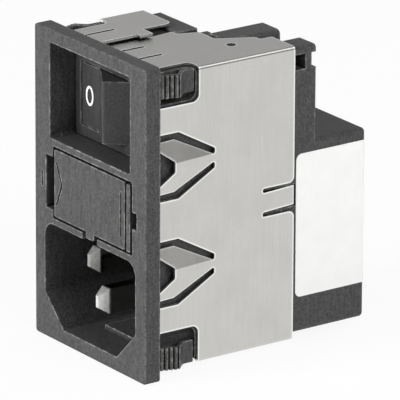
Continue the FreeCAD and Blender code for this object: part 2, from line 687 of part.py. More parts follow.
def plunger_springs():
    """Compression springs behind the plungers, as square wire in short straight runs."""
    length = PLUNGER_START - BORE_START - SPRING_WIRE
    half = SPRING_WIRE / 2
    count = SPRING_TURNS * SPRING_STEPS
    rings = []
    for i in range(count + 1):
        turn = 2 * math.pi * i / SPRING_STEPS
        y = BORE_START + half + length * i / count
        ring = []
        for out, along in ((-half, -half), (half, -half), (half, half), (-half, half)):
            r = SPRING_R + out
            ring.append(V(r * math.cos(turn), PIVOT_Y + y + along, r * math.sin(turn)))
        rings.append(ring)
    corners = [(rings[0][0], rings[0][1], rings[0][2]), (rings[0][0], rings[0][2], rings[0][3]),
               (rings[-1][0], rings[-1][1], rings[-1][2]), (rings[-1][0], rings[-1][2], rings[-1][3])]
    for near, far in zip(rings, rings[1:]):
        for k in range(4):
            j = (k + 1) % 4
            corners += [(near[k], near[j], far[j]), (near[k], far[j], far[k])]
    shell = Part.makeShell([Part.Face(Part.makePolygon([a, b, c, a])) for a, b, c in corners])
    coil = Part.makeSolid(shell)
    if coil.Volume < 0:
        coil.reverse()
    made = []
    for z in POLES:
        spring = coil.copy()
        spring.translate(V(0, 0, z))
        made.append(lean(spring))
    return Part.makeCompound(made)


def contact_lever(z):
    """Contact lever that rocks on its supply blade, with a silver button at one end."""
    low, high = z - LEVER_W / 2, z + LEVER_W / 2
    beam = box(-LEVER_LEFT, LEVER_RIGHT, LEVER_TOP, FULCRUM_Y, low, high)
    button = rod(CONTACT_R, V(CONTACT_X, FULCRUM_Y, z), V(CONTACT_X, FULCRUM_Y + CONTACT_T, z), SIDES)
    lever = merged([beam, button])
    lever.rotate(V(0, FULCRUM_Y, 0), V(0, 0, 1), -LEVER_TILT)
    return lever


def supply_blades():
    """Supply blades whose front edges carry the contact levers."""
    made = []
    for z in POLES:
        half = BLADE_T / 2
        edge = FULCRUM_Y + KNIFE_GAP
        heel = edge + KNIFE_L
        blade = [(0, edge, KNIFE_R), (half, heel), (half, BLADE_END), (-half, BLADE_END), (-half, heel)]
        made.append(prism("xy", blade, z - LEVER_W / 2, z + LEVER_W / 2))
    return Part.makeCompound(made)


def load_blades():
    """Load blades with the fixed contacts that the levers close on."""
    drop = math.radians(LEVER_TILT)
    face = FULCRUM_Y + CONTACT_X * math.sin(drop) + (CONTACT_T + CONTACT_GAP) / math.cos(drop)
    made = []
    for z in POLES:
        low, high = z - LEVER_W / 2, z + LEVER_W / 2
        head = box(CONTACT_X - CONTACT_R, CONTACT_X + CONTACT_R, face + CONTACT_R * math.sin(drop),
                   face + CONTACT_R * math.sin(drop) + BLADE_T, low, high)
        stem = box(CONTACT_X - BLADE_T / 2, CONTACT_X + BLADE_T / 2, face + BLADE_T, BLADE_END, low, high)
        made.append(merged([head, stem]))
    return Part.makeCompound(made)


def groove(start, end):
    """Shallow engraved line in the front plane, from one (x, z) point to another."""
    length = math.hypot(end[0] - start[0], end[1] - start[1])
    line = box(0, length, FRONT - 1, FRONT + MARK_DEPTH, -MARK_W / 2, MARK_W / 2)
    line.rotate(V(0, 0, 0), V(0, -1, 0), math.degrees(math.atan2(end[1] - start[1], end[0] - start[0])))
    line.translate(V(start[0], 0, start[1]))
    return line


def fuse_drawer():
    """Drawer: flush face with a pull tab and sprung finger, and a tray with two fuse cradles."""
    back = FRONT + DRAWER_FACE_T
    face = prism("xz", rectangle(DRAWER_LEFT, DRAWER_RIGHT, DRAWER_LOW, DRAWER_HIGH, DRAWER_R), FRONT, back)
    tab = prism("xz", rectangle(-TAB_HALF, TAB_HALF, DRAWER_LOW - TAB_DROP, DRAWER_LOW + 1, DRAWER_R), FRONT,
                back)
    half = CARRIER_W / 2
    deck = DRAWER_LOW + CARRIER_FLOOR
    pieces = [face, tab,
              box(-half, half, back, CARRIER_END, DRAWER_LOW, deck),
              box(*FINGER_X, FRONT, FRONT + FINGER_LENGTH, DRAWER_LOW, DRAWER_HIGH - FINGER_DROP),
              box(half - WALL, FINGER_X[1], FRONT + FINGER_LENGTH - WALL, FRONT + FINGER_LENGTH,
                  DRAWER_LOW, CARRIER_SIDE_TOP),
              box(-WALL / 2, WALL / 2, back, CARRIER_END, deck, FUSE_Z)]
    for side in (1, -1):
        wall_x = sorted((side * half, side * (half - WALL)))
        pieces.append(box(*wall_x, back, CARRIER_END, deck, CARRIER_SIDE_TOP))
    for y in (FUSE_FRONT + CRADLE_INSET, FUSE_BACK - CRADLE_INSET):
        pieces.append(box(-half, half, y - WALL / 2, y + WALL / 2, deck, FUSE_Z - FUSE_R / 2))
    solid = merged(pieces)
    point = (ARROW_X[1], ARROW_Z[1])
    cuts = [groove((ARROW_X[0], ARROW_Z[2]), point), groove(point, (ARROW_X[0], ARROW_Z[0])),
            groove((GRIP_LINE_X, ARROW_Z[2]), (GRIP_LINE_X, ARROW_Z[0]))]
    for side in (1, -1):
        axis = side * FUSE_X
        cuts.append(rod(FUSE_R + FUSE_FIT, V(axis, FUSE_FRONT + 2, FUSE_Z), V(axis, FUSE_BACK - 2, FUSE_Z),
                        FUSE_SIDES))
    return solid.cut(cuts[0].multiFuse(cuts[1:]))


def fuse_pieces():
    """Glass tubes, end caps and fusible wires of the two cartridge fuses."""
    tubes, caps, wires = [], [], []
    cap_wall = FUSE_CAP_R - FUSE_R
    for side in (1, -1):
        def at(y):
            return V(side * FUSE_X, y, FUSE_Z)
        inner = FUSE_R - FUSE_GLASS
        first, last = FUSE_FRONT + cap_wall, FUSE_BACK - cap_wall
        bore = rod(inner, at(first - 1), at(last + 1), FUSE_SIDES)
        tubes.append(rod(FUSE_R, at(first), at(last), FUSE_SIDES).cut(bore))
        wires.append(rod(FUSE_WIRE_R, at(first), at(last), SIDES))
        room = rod(FUSE_R + FUSE_FIT, at(first), at(last), FUSE_SIDES)
        for end, mouth in ((FUSE_FRONT, FUSE_FRONT + FUSE_CAP_L), (FUSE_BACK - FUSE_CAP_L, FUSE_BACK)):
            caps.append(rod(FUSE_CAP_R, at(end), at(mouth), FUSE_SIDES).cut(room))
    return [Part.makeCompound(group) for group in (tubes, caps, wires)]


def rear_fuse_contact(side):
    """Contact from an inlet pin up to its fuse, with a leaf folded forward over the fuse's rear cap."""
    near, plate = FUSE_BACK + CLIP_GAP, CLIP_Y + CLIP_T
    low, high = FUSE_Z - CLIP_W, FUSE_Z + CLIP_W
    def span(a, b):
        return sorted((side * a, side * b))
    riser = box(*span(PIN_PITCH - CLIP_W / 2, PIN_PITCH + CLIP_W / 2), CLIP_Y, plate,
                PIN_LINE_Z - PIN_H / 2, high)
    head = box(*span(FUSE_X - CLIP_W / 2, PIN_PITCH + CLIP_W / 2), CLIP_Y, plate, low, high)
    leaf = [(plate, high), (near, high, CLIP_BEND), (near, low), (near + CLIP_T, low),
            (near + CLIP_T, high - CLIP_T), (plate, high - CLIP_T)]
    return merged([riser, head, prism("yz", leaf, *span(FUSE_X - CLIP_W / 2, FUSE_X + CLIP_W / 2))])


def front_fuse_contacts():
    """Spring strips under the tunnel's ceiling that press on the fuses' front caps."""
    ceiling = TUNNEL_HIGH
    touch = FUSE_Z + FUSE_CAP_R + CLIP_GAP
    y = FUSE_FRONT + FUSE_CAP_L / 2
    bend, tip, curl = y + STRIP_REACH, y - STRIP_TIP, touch + STRIP_CURL
    inside, outside = STRIP_R, STRIP_R + CLIP_T
    strip = [(BODY_DEPTH, ceiling), (bend, ceiling, outside), (y, touch + CLIP_T, inside), (tip, curl),
             (tip, curl - CLIP_T), (y, touch, outside), (bend, ceiling - CLIP_T, inside),
             (BODY_DEPTH, ceiling - CLIP_T)]
    made = [prism("yz", strip, x - CLIP_W / 2, x + CLIP_W / 2) for x in (-FUSE_X, FUSE_X)]
    return Part.makeCompound(made)


def pin(x, z, tip, back):
    """Flat inlet pin with a four-sided taper at its tip."""
    thin, low = PIN_TIP_T / 2, PIN_TIP_H / 2
    thick, tall = PIN_T / 2, PIN_H / 2
    point = Part.makeWedge(x - thin, tip, z - low, z - tall, x - thick,
                           x + thin, tip + PIN_TAPER, z + low, z + tall, x + thick)
    shank = box(x - thick, x + thick, tip + PIN_TAPER, back, z - tall, z + tall)
    return merged([point, shank])


def rear_housing():
    """Filter case with the terminal guard of the switch on top, open towards the inlet."""
    shelf = BAY_LOW - BAY_FLOOR_DROP
    case = box(-BODY_X, BODY_X, BODY_DEPTH, CASE_REAR, CASE_BOTTOM, CASE_TOP)
    rim = [e for e in case.Edges if e.BoundBox.YMin > CASE_REAR - 0.01]
    rim += [e for e in case.Edges if e.BoundBox.YLength > 1]
    case = case.makeFillet(CASE_CORNER, rim)
    hollow = box(-BODY_X + WALL, BODY_X - WALL, BODY_DEPTH - 1, CASE_REAR - WALL, CASE_BOTTOM + WALL,
                 CASE_TOP - WALL)
    wing = box(-BODY_X, WING_RIGHT, UPPER_DEPTH, WING_REAR, shelf, WING_TOP)
    guard = box(WING_RIGHT, BODY_X, UPPER_DEPTH, GUARD_REAR, shelf, GUARD_SHOULDER)
    crown = [(RIDGE_LEFT, GUARD_SHOULDER), (BODY_X, GUARD_SHOULDER), (BODY_X, GUARD_TOP, BODY_EDGE),
             (RIDGE_LEFT, GUARD_TOP)]
    block = prism("xz", crown, UPPER_DEPTH, GUARD_NOTCH_Y[0])
    notch_x = BODY_X - CAP_NOTCH_DEPTH
    eave = prism("xz", crown, UPPER_DEPTH, GUARD_REAR)
    lid = eave.common(box(CAP_LEFT, BODY_X, UPPER_DEPTH, GUARD_REAR, GUARD_TOP - GUARD_POST, GUARD_TOP))
    back = box(CAP_LEFT, notch_x, UPPER_DEPTH, GUARD_NOTCH_Y[1] + GUARD_POST, GUARD_SHOULDER, GUARD_TOP)
    post = eave.common(box(notch_x, BODY_X, GUARD_NOTCH_Y[1], GUARD_NOTCH_Y[1] + GUARD_POST,
                           GUARD_SHOULDER, GUARD_TOP))
    ridge = prism("xz", [(RIDGE_LEFT, GUARD_SHOULDER), (RIDGE_RIGHT, GUARD_SHOULDER),
                         (RIDGE_RIGHT, RIDGE_TOP, RIDGE_R), (RIDGE_LEFT, RIDGE_TOP)],
                  UPPER_DEPTH, RIDGE_REAR)
    bevel = prism("xy", [(RIDGE_NOSE_X, UPPER_DEPTH), (RIDGE_RIGHT + 1, UPPER_DEPTH),
                         (RIDGE_RIGHT + 1, RIDGE_NOSE_Y), (RIDGE_RIGHT, RIDGE_NOSE_Y)],
                  GUARD_TOP, RIDGE_TOP + 1)
    inner = WING_RIGHT + WALL
    room = box(inner, BODY_X - WALL, UPPER_DEPTH - 1, GUARD_REAR - WALL, shelf + WALL, GUARD_SHOULDER - WALL)
    side_room = box(-BODY_X + WALL, inner, UPPER_DEPTH - 1, WING_REAR - WALL, shelf + WALL, WING_TOP - WALL)
    cuts = [hollow, room, side_room, lance_pocket(1), lance_pocket(-1)]
    for x, z in ((TERMINAL_X, TERMINAL_LINE_Z), (TERMINAL_X, TERMINAL_NEUTRAL_Z)):
        cuts.append(box(x - TERMINAL_T / 2, x + TERMINAL_T / 2, CASE_REAR - WALL - 1, CASE_REAR + 1,
                        z - TERMINAL_W / 2, z + TERMINAL_W / 2))
    cuts.append(box(TERMINAL_EARTH_X - TERMINAL_W / 2, TERMINAL_EARTH_X + TERMINAL_W / 2,
                    CASE_REAR - WALL - 1, CASE_REAR + 1,
                    TERMINAL_EARTH_Z - TERMINAL_T / 2, TERMINAL_EARTH_Z + TERMINAL_T / 2))
    pieces = [case, wing, guard, block, lid, back, post, ridge.cut(bevel)]
    return merged(pieces).cut(cuts[0].multiFuse(cuts[1:]))


def rating_label():
    """Blank label on the case's right side, lapped round its rear corner."""
    x, y = BODY_X, CASE_REAR
    out, lap = x + LABEL_T, x - LABEL_LAP
    strip = prism("xy", [(x, LABEL_FRONT), (out, LABEL_FRONT), (out, y + LABEL_T, CASE_CORNER + LABEL_T),
                         (lap, y + LABEL_T), (lap, y), (x, y, CASE_CORNER)], *LABEL_Z)
    outline = [(LABEL_FRONT, LABEL_Z[0], LABEL_R), (y + 1, LABEL_Z[0]), (y + 1, LABEL_Z[1]),
               (LABEL_FRONT, LABEL_Z[1], LABEL_R)]
    return strip.common(prism("yz", outline, lap, out))


def terminal(x, z, upright):
    """Tab terminal from the filter board through the rear wall, chamfered and pierced."""
    end = CASE_REAR + TERMINAL_OUT
    half = TERMINAL_W / 2
    taper = half - TERMINAL_CHAMFER
    blade = [(BOARD_BACK, -half), (end - TERMINAL_CHAMFER, -half), (end, -taper), (end, taper),
             (end - TERMINAL_CHAMFER, half), (BOARD_BACK, half)]
    tab = prism("yz", blade, -TERMINAL_T / 2, TERMINAL_T / 2)
    hole_y = end - TERMINAL_HOLE_SETBACK
    tab = tab.cut(rod(TERMINAL_HOLE_R, V(-TERMINAL_T, hole_y, 0), V(TERMINAL_T, hole_y, 0)))
    if not upright:
        tab.rotate(V(0, 0, 0), V(0, 1, 0), 90)
    tab.translate(V(x, 0, z))
    return tab


def filter_board():
    half = BODY_X - WALL - BOARD_EDGE_GAP
    return box(-half, half, BOARD_Y, BOARD_BACK, CASE_BOTTOM + WALL + BOARD_EDGE_GAP,
               CASE_TOP - WALL - BOARD_EDGE_GAP)


def choke_ring(outer, inner, y0, y1):
    """Ring about the choke's axis, with flat sides."""
    ends = V(0, y0, CHOKE_Z), V(0, y1, CHOKE_Z)
    return rod(outer, *ends, CHOKE_SIDES).cut(rod(inner, *ends, CHOKE_SIDES))


def choke_winding(middle):
    """One half of the choke's winding, wrapped over the core about a middle angle."""
    wrap = choke_ring(CHOKE_R + COIL_T, CHOKE_BORE - COIL_T, BOARD_BACK, BOARD_BACK + CHOKE_H + 2 * COIL_T)
    corners = [(0, CHOKE_Z)]
    for turn in (middle - COIL_ANGLE / 2, middle, middle + COIL_ANGLE / 2):
        way = math.radians(turn)
        corners.append((2 * CHOKE_R * math.cos(way), CHOKE_Z + 2 * CHOKE_R * math.sin(way)))
    return wrap.common(prism("xz", corners, BOARD_BACK, CASE_REAR)).cut(choke_core())


def choke_core():
    y0 = BOARD_BACK + COIL_T
    return choke_ring(CHOKE_R, CHOKE_BORE, y0, y0 + CHOKE_H)


def x_capacitor():
    high = CASE_TOP - WALL - BOARD_EDGE_GAP
    return prism("xz", rectangle(XCAP_LEFT, XCAP_LEFT + XCAP_W, high - XCAP_T, high, XCAP_R), BOARD_BACK,
                 BOARD_BACK + XCAP_H)


def leg(x, z, end):
    """Square lead from the board up into a component."""
    half = LEG_W / 2
    return box(x - half, x + half, BOARD_BACK, end, z - half, z + half)


def y_capacitors():
    made = []
    for z in YCAP_Z:
        y = BOARD_BACK + LEG_L + YCAP_R
        disc = rod(YCAP_R, V(YCAP_X - YCAP_T / 2, y, z), V(YCAP_X + YCAP_T / 2, y, z), FUSE_SIDES)
        legs = [leg(YCAP_X, z + s, y) for s in (-YCAP_LEG, YCAP_LEG)]
        made.append(merged([disc] + legs))
    return Part.makeCompound(made)


def bleed_resistor():
    x, z = XCAP_LEFT - RESISTOR_GAP, CASE_TOP - WALL - BOARD_EDGE_GAP - RESISTOR_R
    y = BOARD_BACK + LEG_L + RESISTOR_R
    body = rod(RESISTOR_R, V(x - RESISTOR_L, y, z), V(x, y, z), SIDES)
    legs = [leg(x - s, z, y) for s in (RESISTOR_LEG, RESISTOR_L - RESISTOR_LEG)]
    return merged([body] + legs)


def main():
    os.makedirs("parts", exist_ok=True)
    tubes, caps, wires = fuse_pieces()
    nodes = {
        "front_housing": front_housing(),
        "shield": shield(),
        "rear_housing": rear_housing(),
        "rating_label": rating_label(),
        "line_pin": pin(PIN_PITCH, PIN_LINE_Z, PIN_TIP_LINE, CLIP_Y),
        "neutral_pin": pin(-PIN_PITCH, PIN_LINE_Z, PIN_TIP_LINE, CLIP_Y),
        "earth_pin": pin(0, PIN_EARTH_Z, PIN_TIP_EARTH, BOARD_Y),
        "switch_base": switch_base(),
        "rocker": rocker(),
        "contact_plungers": plungers(),
        "plunger_springs": plunger_springs(),
        "contact_lever_line": contact_lever(POLES[0]),
        "contact_lever_neutral": contact_lever(POLES[1]),
        "switch_supply_blades": supply_blades(),
        "switch_load_blades": load_blades(),
        "fuse_drawer": fuse_drawer(),
        "fuse_tubes": tubes,
        "fuse_caps": caps,
        "fuse_wires": wires,
        "line_fuse_contact": rear_fuse_contact(1),
        "neutral_fuse_contact": rear_fuse_contact(-1),
        "front_fuse_contacts": front_fuse_contacts(),
        "filter_board": filter_board(),
        "choke_core": choke_core(),
        "choke_winding_line": choke_winding(-90),
        "choke_winding_neutral": choke_winding(90),
        "x_capacitor": x_capacitor(),
        "y_capacitors": y_capacitors(),
        "bleed_resistor": bleed_resistor(),
        "load_terminal_line": terminal(TERMINAL_X, TERMINAL_LINE_Z, True),
        "load_terminal_neutral": terminal(TERMINAL_X, TERMINAL_NEUTRAL_Z, True),
        "earth_terminal": terminal(TERMINAL_EARTH_X, TERMINAL_EARTH_Z, False),
    }
    for name, shape in nodes.items():
        shape.exportStep(f"parts/{name}.step")
        print(name, shape.isValid(), len(shape.Solids), round(shape.Volume, 2))


main()
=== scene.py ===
"""Looks of the panel inlet filter: finishes, switch marks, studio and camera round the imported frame."""
import json
import math

import bmesh
import bpy
from mathutils import Matrix, Vector


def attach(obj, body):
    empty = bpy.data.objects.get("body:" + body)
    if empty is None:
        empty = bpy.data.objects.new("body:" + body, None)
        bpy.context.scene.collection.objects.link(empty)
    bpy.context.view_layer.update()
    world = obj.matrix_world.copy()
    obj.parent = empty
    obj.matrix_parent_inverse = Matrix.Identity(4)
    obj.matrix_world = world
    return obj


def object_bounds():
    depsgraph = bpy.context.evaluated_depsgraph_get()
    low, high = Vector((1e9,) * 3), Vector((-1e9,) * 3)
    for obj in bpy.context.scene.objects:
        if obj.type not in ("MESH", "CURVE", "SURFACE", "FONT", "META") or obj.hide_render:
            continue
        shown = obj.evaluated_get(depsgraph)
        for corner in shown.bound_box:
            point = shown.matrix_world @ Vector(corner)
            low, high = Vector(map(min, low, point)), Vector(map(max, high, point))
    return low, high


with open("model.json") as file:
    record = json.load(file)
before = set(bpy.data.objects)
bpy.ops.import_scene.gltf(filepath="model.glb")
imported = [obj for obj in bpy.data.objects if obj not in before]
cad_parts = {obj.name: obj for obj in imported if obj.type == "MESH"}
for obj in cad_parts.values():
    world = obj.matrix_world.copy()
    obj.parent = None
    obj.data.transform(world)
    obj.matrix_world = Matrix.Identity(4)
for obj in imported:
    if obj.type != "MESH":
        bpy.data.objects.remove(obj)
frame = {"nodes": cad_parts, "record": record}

CAD_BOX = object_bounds()
MM = 0.001

# Sockets of a mix node, which share their names: factor, two values, two colours and the mixed colour
FACTOR = 0
VALUE_A = 2
VALUE_B = 3
COLOUR_A = 6
COLOUR_B = 7
COLOUR_OUT = 2

# Camera of the photograph, fitted to the flange, the can and the case
CAMERA_AZIMUTH = 54.72
CAMERA_ELEVATION = 18.90
CAMERA_ROLL = 0.25
CAMERA_DISTANCE = 972.36 * MM
CAMERA_TARGET = Vector((-2.963, 20.0, -4.692)) * MM
CAMERA_LENS = 564.6
SENSOR = 36.0

# Surround: light on matt faces, levels that metal shows, and the way to a soft panel seen in bends
PLAIN_LIGHT = 0.17
WHITE = 1.0
CEILING_LEFT = 0.52
CEILING_RIGHT = 0.29
CEILING_SPREAD = 0.8
WALL_TOP = 0.03
PANEL_WAY = (0.45, 0.55, 0.70)
PANEL_RIM = 0.95
PANEL_CORE = 0.985
PANEL_LEVEL = 1.6
FLOOR_SIZE = 8.0
FLOOR_WHITE = 0.91

# Lamps: name, place and size in metres, power in watts
LAMPS = (
    ("key_lamp", (-0.10, -0.63, 0.24), 0.35, 6.0),
    ("right_lamp", (0.56, 0.05, 0.40), 0.40, 3.0),
    ("rear_lamp", (-0.20, 0.55, 0.20), 0.40, 1.0),
)

# Inlet pins, and the shares of their length between which the tip's finish gives way to the shank's and its
# painted shade
INLET_PINS = ("line_pin", "neutral_pin", "earth_pin")
TIP_END = 0.066
SHANK_START = 0.08

# Switch marks, in the plane of a wing that lies flat
PIVOT_Y = 5.6 * MM
WING_Y = 2.05 * MM
ROCKER_SWING = 21.0
MARK_X = 6.9 * MM
MARK_Z = 14.5 * MM
RING_W = 2.05 * MM
RING_H = 3.2 * MM
RING_STROKE = 0.38 * MM
RING_STEPS = 72
BAR_W = 0.45 * MM
PRINT_T = 0.02 * MM


def linear(code):
    """Linear colour of an sRGB hex value such as "#5a5a5a"."""
    parts = [int(code[i:i + 2], 16) / 255 for i in (1, 3, 5)]
    return [p / 12.92 if p <= 0.04045 else ((p + 0.055) / 1.055) ** 2.4 for p in parts] + [1.0]


def per_mm(size):
    """Texture scale that gives a feature of about that size in millimetres."""
    return 1.0 / (size * MM)


def add(tree, kind, inputs=(), **properties):
    """New node of a kind with its properties; each input is a socket to link from or a value to set."""
    made = tree.nodes.new(kind)
    for name, value in properties.items():
        setattr(made, name, value)
    for key, value in dict(inputs).items():
        if isinstance(value, bpy.types.NodeSocket):
            tree.links.new(value, made.inputs[key])
        else:
            made.inputs[key].default_value = value
    return made


def finish(name, inputs):
    """New material with a principled shader and its constant inputs: material, node tree, shader, place."""
    material = bpy.data.materials.new(name)
    material.use_nodes = True
    tree = material.node_tree
    shader = next(n for n in tree.nodes if n.type == "BSDF_PRINCIPLED")
    for key, value in inputs.items():
        shader.inputs[key].default_value = value
    return material, tree, shader, add(tree, "ShaderNodeTexCoord").outputs["Object"]


def moulded_thermoplastic(name, dark, light, rough, grain, edge, wear_and_highlight):
    # Black glass-filled thermoplastic from a spark-eroded mould: a dry, even charcoal with a fine
    # grain, faint upright flow streaks, a few pale fibre flecks, outer edges paler in places, partly rubbed
    # wear and partly painted edge highlight, and painted shade that darkens seams and inner corners.
    # Spark erosion leaves pits of about 0.05 mm; they are drawn coarser, at the grain's size, to show.
    material, tree, shader, place = finish(name, {"IOR": 1.52, "Specular IOR Level": 0.35})
    upright = add(tree, "ShaderNodeMapping", {"Vector": place, "Scale": (1.0, 1.0, 0.15)})
    flow = add(tree, "ShaderNodeTexNoise",
               {"Vector": upright.outputs[0], "Scale": per_mm(0.5), "Detail": 3.0})
    pits = add(tree, "ShaderNodeTexNoise",
               {"Vector": place, "Scale": per_mm(grain), "Detail": 2.0, "Roughness": 0.7})
    fibre = add(tree, "ShaderNodeTexVoronoi", {"Vector": place, "Scale": per_mm(1.6), "Randomness": 1.0})
    tone = add(tree, "ShaderNodeMix",
               {FACTOR: 0.75, VALUE_A: flow.outputs["Fac"], VALUE_B: pits.outputs["Fac"]})
    depth = add(tree, "ShaderNodeMapRange", {"Value": tone.outputs[0], "From Min": 0.40, "From Max": 0.60})
    body = add(tree, "ShaderNodeMix",
               {FACTOR: depth.outputs["Result"], COLOUR_A: linear(dark), COLOUR_B: linear(light)},
               data_type="RGBA")
    fleck = add(tree, "ShaderNodeMapRange",
                {"Value": fibre.outputs["Distance"], "From Min": 0.09, "From Max": 0.02, "To Max": 0.25})
    flecked = add(tree, "ShaderNodeMix",
                  {FACTOR: fleck.outputs["Result"], COLOUR_A: body.outputs[COLOUR_OUT],
                   COLOUR_B: linear("#8e8e8c")},
                  data_type="RGBA")
    # Pale convex edges: partly rubbed wear in noisy patches, partly a thin painted highlight along every
    # outer edge.
    corner = add(tree, "ShaderNodeAmbientOcclusion", {"Distance": edge * MM},
                 samples=8, inside=True, only_local=True)
    patch = add(tree, "ShaderNodeTexNoise",
                {"Vector": place, "Scale": per_mm(1.0), "Detail": 4.0, "Roughness": 0.7})
    rubbed_and_highlit = add(tree, "ShaderNodeMapRange",
                 {"Value": patch.outputs["Fac"], "From Min": 0.45, "From Max": 0.65,
                  "To Min": 0.14 * wear_and_highlight, "To Max": wear_and_highlight})
    reach = add(tree, "ShaderNodeMapRange",
                {"Value": corner.outputs["AO"], "From Min": 0.92, "From Max": 0.62,
                 "To Max": rubbed_and_highlit.outputs["Result"]})
    worn_and_highlit = add(tree, "ShaderNodeMix",
               {FACTOR: reach.outputs["Result"], COLOUR_A: flecked.outputs[COLOUR_OUT],
                COLOUR_B: linear("#a8a8a4")},
               data_type="RGBA")
    # Painted shade: ambient occlusion within 0.8 mm darkens seams and inner corners towards near black.
    crevice_shade_ao = add(tree, "ShaderNodeAmbientOcclusion", {"Distance": 0.8 * MM}, samples=8)
    shade = add(tree, "ShaderNodeMapRange",
                {"Value": crevice_shade_ao.outputs["AO"], "From Min": 0.25, "From Max": 0.85,
                 "To Min": 0.9, "To Max": 0.0})
    colour = add(tree, "ShaderNodeMix",
                 {FACTOR: shade.outputs["Result"], COLOUR_A: worn_and_highlit.outputs[COLOUR_OUT],
                  COLOUR_B: linear("#0c0c0c")},
                 data_type="RGBA")
    tree.links.new(colour.outputs[COLOUR_OUT], shader.inputs["Base Color"])
    sheen = add(tree, "ShaderNodeMapRange",
                {"Value": pits.outputs["Fac"], "From Min": 0.3, "From Max": 0.7,
                 "To Min": rough - 0.08, "To Max": rough + 0.10})
    tree.links.new(sheen.outputs["Result"], shader.inputs["Roughness"])
    radius = add(tree, "ShaderNodeBevel", {"Radius": edge * MM}, samples=6)
    bump = add(tree, "ShaderNodeBump",
               {"Height": pits.outputs["Fac"], "Strength": 0.30, "Distance": 0.02 * MM,
                "Normal": radius.outputs[0]})
    tree.links.new(bump.outputs["Normal"], shader.inputs["Normal"])
    return material


def tinned_rolled_steel():
    # Bright-tinned cold-rolled steel strip: a satin grey mirror with soft cloudy patches where the tin
    # flowed, hair-thin rolling lines along the strip and sheared edges, partly burnished, partly painted
    # highlight.
    # Rolling lines are a few hundredths of a millimetre apart; they are drawn at 0.25 mm to show.
    material, tree, shader, place = finish("tinned_rolled_steel", {"Metallic": 1.0})
    cloud = add(tree, "ShaderNodeTexNoise",
                {"Vector": place, "Scale": per_mm(6.0), "Detail": 5.0, "Roughness": 0.6})
    strip = add(tree, "ShaderNodeMapping", {"Vector": place, "Scale": (0.02, 1.0, 0.02)})
    lines = add(tree, "ShaderNodeTexNoise",
                {"Vector": strip.outputs[0], "Scale": per_mm(0.25), "Detail": 2.0})
    tone = add(tree, "ShaderNodeMix",
               {FACTOR: 0.3, VALUE_A: cloud.outputs["Fac"], VALUE_B: lines.outputs["Fac"]})
    depth = add(tree, "ShaderNodeMapRange", {"Value": tone.outputs[0], "From Min": 0.32, "From Max": 0.68})
    face = add(tree, "ShaderNodeMix",
               {FACTOR: depth.outputs["Result"], COLOUR_A: linear("#c3c2be"), COLOUR_B: linear("#d0cfcc")},
               data_type="RGBA")
    # Painted highlight: sheared edges turn near white, partly burnished metal and partly a painted edge
    # glint.
    shear_and_glint = add(tree, "ShaderNodeAmbientOcclusion", {"Distance": 0.36 * MM},
                samples=16, inside=True, only_local=True)
    bright = add(tree, "ShaderNodeMapRange",
                 {"Value": shear_and_glint.outputs["AO"], "From Min": 0.97, "From Max": 0.72, "To Max": 0.9})
    colour = add(tree, "ShaderNodeMix",
                 {FACTOR: bright.outputs["Result"], COLOUR_A: face.outputs[COLOUR_OUT],
                  COLOUR_B: linear("#fafaf8")},
                 data_type="RGBA")
    tree.links.new(colour.outputs[COLOUR_OUT], shader.inputs["Base Color"])
    satin = add(tree, "ShaderNodeMapRange",
                {"Value": cloud.outputs["Fac"], "From Min": 0.3, "From Max": 0.7,
                 "To Min": 0.20, "To Max": 0.30})
    tree.links.new(satin.outputs["Result"], shader.inputs["Roughness"])
    radius = add(tree, "ShaderNodeBevel", {"Radius": 0.08 * MM}, samples=6)
    bump = add(tree, "ShaderNodeBump",
               {"Height": cloud.outputs["Fac"], "Strength": 0.05, "Distance": 0.05 * MM,
                "Normal": radius.outputs[0]})
    tree.links.new(bump.outputs["Normal"], shader.inputs["Normal"])
    return material


def drawn_metal(name, dark, light, rough):
    # Rolled or drawn metal, bare or plated: an even satin sheen with fine draw lines along the piece.
    # Draw lines are finer than the image can hold; they are drawn at 0.3 mm to show.
    material, tree, shader, place = finish(name, {"Metallic": 1.0})
    along = add(tree, "ShaderNodeMapping", {"Vector": place, "Scale": (1.0, 0.12, 1.0)})
    lines = add(tree, "ShaderNodeTexNoise",
                {"Vector": along.outputs[0], "Scale": per_mm(0.3), "Detail": 3.0})
    depth = add(tree, "ShaderNodeMapRange",
                {"Value": lines.outputs["Fac"], "From Min": 0.3, "From Max": 0.7})
    colour = add(tree, "ShaderNodeMix",
                 {FACTOR: depth.outputs["Result"], COLOUR_A: linear(dark), COLOUR_B: linear(light)},
                 data_type="RGBA")
    tree.links.new(colour.outputs[COLOUR_OUT], shader.inputs["Base Color"])
    satin = add(tree, "ShaderNodeMapRange",
                {"Value": depth.outputs["Result"], "To Min": rough - 0.06, "To Max": rough + 0.06})
    tree.links.new(satin.outputs["Result"], shader.inputs["Roughness"])
    return material


